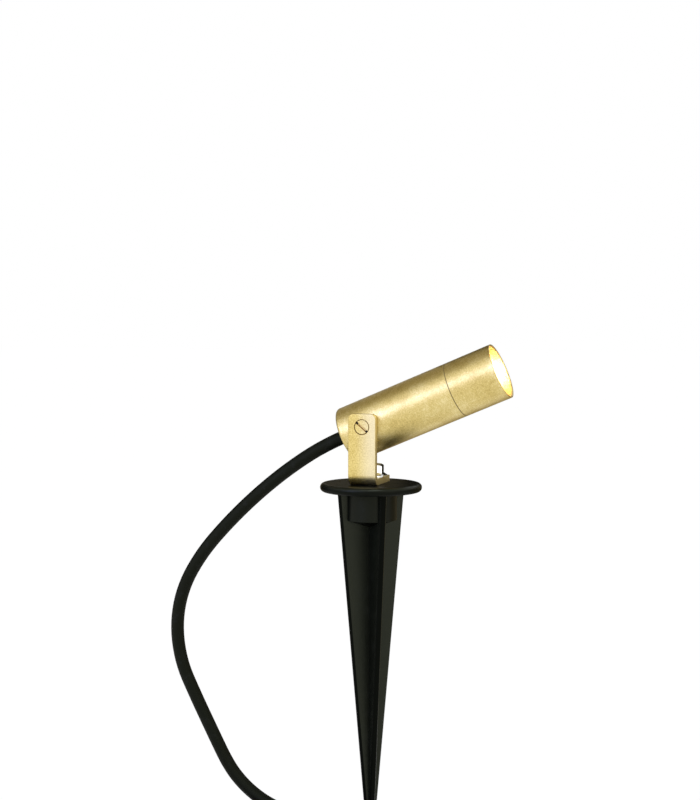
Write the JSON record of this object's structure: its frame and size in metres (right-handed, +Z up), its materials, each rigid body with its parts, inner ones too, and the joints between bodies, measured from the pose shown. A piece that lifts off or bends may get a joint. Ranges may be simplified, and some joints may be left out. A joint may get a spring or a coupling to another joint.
{
  "type": "garden spike spotlight",
  "caption": "Small turned brass spotlight that tilts on a folded bracket, turns on a plastic ground spike, and unscrews at its glare hood.",
  "frame": {"origin": "centre of the spike flange's underside, level with the ground", "axes": "+Z up, +X the way the beam points from above, the bracket's ear on the -Y side"},
  "size_m": [0.2165, 0.1282, 0.3018],
  "materials": {
    "spike_plastic": "satin moulded black plastic, slightly pebbled",
    "brass": "bead-blasted satin brass under a thin clear lacquer",
    "brass_insert": "machined",
    "stainless": "polished stainless steel",
    "cable_rubber": "matt black rubber sheath",
    "seal_rubber": "moulded rubber seal",
    "washer_nylon": "natural nylon",
    "glass": "clear toughened glass",
    "lens_acrylic": "clear moulded acrylic",
    "holder_plastic": "white moulded plastic",
    "led_board": "white solder mask on an aluminium core",
    "phosphor": "yellow phosphor, lit warm white",
    "screw_steel": "zinc-plated steel",
    "pad_grey": "soft heat-conducting pad",
    "aluminium": "turned",
    "sleeve_plastic": "insulating tube",
    "board_green": "green solder mask",
    "terminal_green": "moulded green plastic",
    "capacitor_sleeve": "shrink sleeve",
    "ferrite": "sintered ferrite",
    "chip_black": "moulded epoxy",
    "wire_red_black": "wire insulation",
    "core_brown": "brown core insulation",
    "core_blue": "blue core insulation",
    "tinned_copper": "tinned",
    "tie_nylon": "black nylon"
  },
  "bodies": {
    "spike": {"spike": "spike_plastic", "thread_insert": "brass_insert", "swivel_bolt": "stainless"},
    "bracket": {"bracket": "brass", "cable_run": "cable_rubber", "cable_coil": "cable_rubber", "cable_tail": "cable_rubber", "cable_ties": "tie_nylon", "core_brown": "core_brown", "core_blue": "core_blue", "core_ferrules": "tinned_copper"},
    "head": {"barrel": "brass", "pivot_screw": "brass", "friction_washer": "washer_nylon", "gland_nut": "brass", "gland_bush": "seal_rubber", "cable_stub": "cable_rubber", "cable_lead": "cable_rubber", "input_core_brown": "core_brown", "input_core_blue": "core_blue", "driver_sleeve": "sleeve_plastic", "driver_board": "board_green", "driver_terminal": "terminal_green", "clamp_screws": "screw_steel", "driver_capacitor": "capacitor_sleeve", "driver_inductor": "ferrite", "driver_chip": "chip_black", "led_wires": "wire_red_black", "heat_sink": "aluminium", "thermal_pad": "pad_grey", "led_board": "led_board", "led_emitter": "phosphor", "led_screws": "screw_steel", "optic_holder": "holder_plastic", "optic": "lens_acrylic", "spigot_seal": "seal_rubber"},
    "glass": {"front_glass": "glass", "glass_gasket": "seal_rubber"},
    "hood": {"hood": "brass"}
  },
  "joints": [
    {"name": "bracket_swivel", "type": "hinge", "parent": "spike", "child": "bracket", "pos_m": [0, 0, 0.005], "axis": [0, 0, 1], "range_deg": [-175, 175]},
    {"name": "head_tilt", "type": "hinge", "parent": "bracket", "child": "head", "pos_m": [0, 0.0025, 0.039], "axis": [0, -1, 0], "range_deg": [-38, 37]},
    {"name": "hood_travel", "type": "slide", "parent": "head", "child": "glass", "axis": [0.9205, 0, 0.3907], "range_m": [0, 0.006]},
    {"name": "hood_spin", "type": "hinge", "parent": "glass", "child": "hood", "pos_m": [0.0509, 0.0025, 0.06061], "axis": [0.9205, 0, 0.3907], "range_deg": [0, 1440]}
  ],
  "couplings": [
    {"joint": "hood_travel", "follows": "hood_spin", "m_per_rad": 0.0002387}
  ]
}
